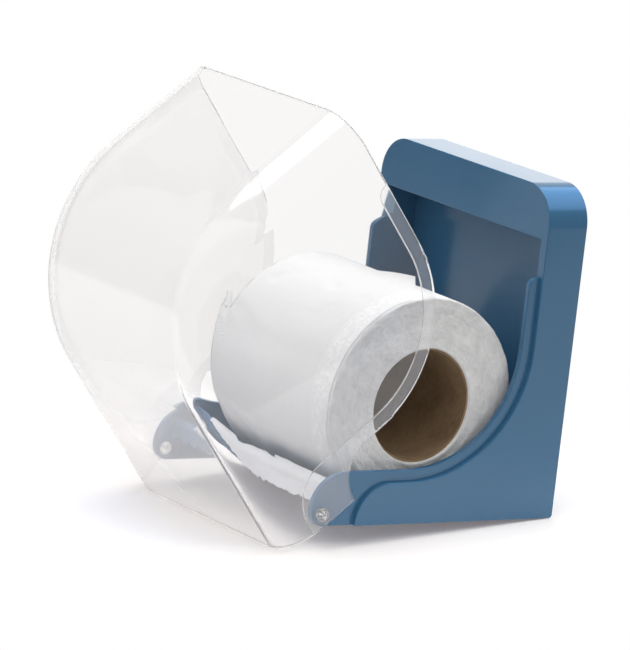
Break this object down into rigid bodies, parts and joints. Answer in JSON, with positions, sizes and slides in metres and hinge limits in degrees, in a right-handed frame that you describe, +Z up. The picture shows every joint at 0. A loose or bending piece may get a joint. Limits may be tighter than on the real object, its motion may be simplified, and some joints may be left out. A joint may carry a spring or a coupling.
{
  "type": "toilet roll holder",
  "caption": "Covered holder for a household toilet roll: moulded housing with cradle floor and tear lip, and a clear cover that swings forward on snap pins.",
  "frame": {"origin": "centre of the housing's flat base", "axes": "+X to the right as seen from the front, +Y towards the wall, +Z up"},
  "size_m": [0.13, 0.1942, 0.1869],
  "materials": {
    "housing_plastic": "gloss",
    "clear_plastic": "gloss",
    "tissue": "matte",
    "core_card": "matte",
    "tissue_sheet": "matte"
  },
  "bodies": {
    "housing": {"housing": "housing_plastic", "paper_tail": "tissue_sheet"},
    "cover": {"cover": "clear_plastic", "hinge_pin_right": "clear_plastic", "hinge_pin_left": "clear_plastic"},
    "roll": {"paper_roll": "tissue", "roll_core": "core_card"}
  },
  "joints": [
    {"name": "cover_hinge", "type": "hinge", "parent": "housing", "child": "cover", "pos_m": [0, -0.0569, 0.0053], "axis": [1, 0, 0], "range_deg": [-38.5, 66.5]},
    {"name": "roll_spin", "type": "hinge", "parent": "housing", "child": "roll", "pos_m": [0.0091, -0.0079, 0.0494], "axis": [1, 0, 0], "continuous": true}
  ]
}
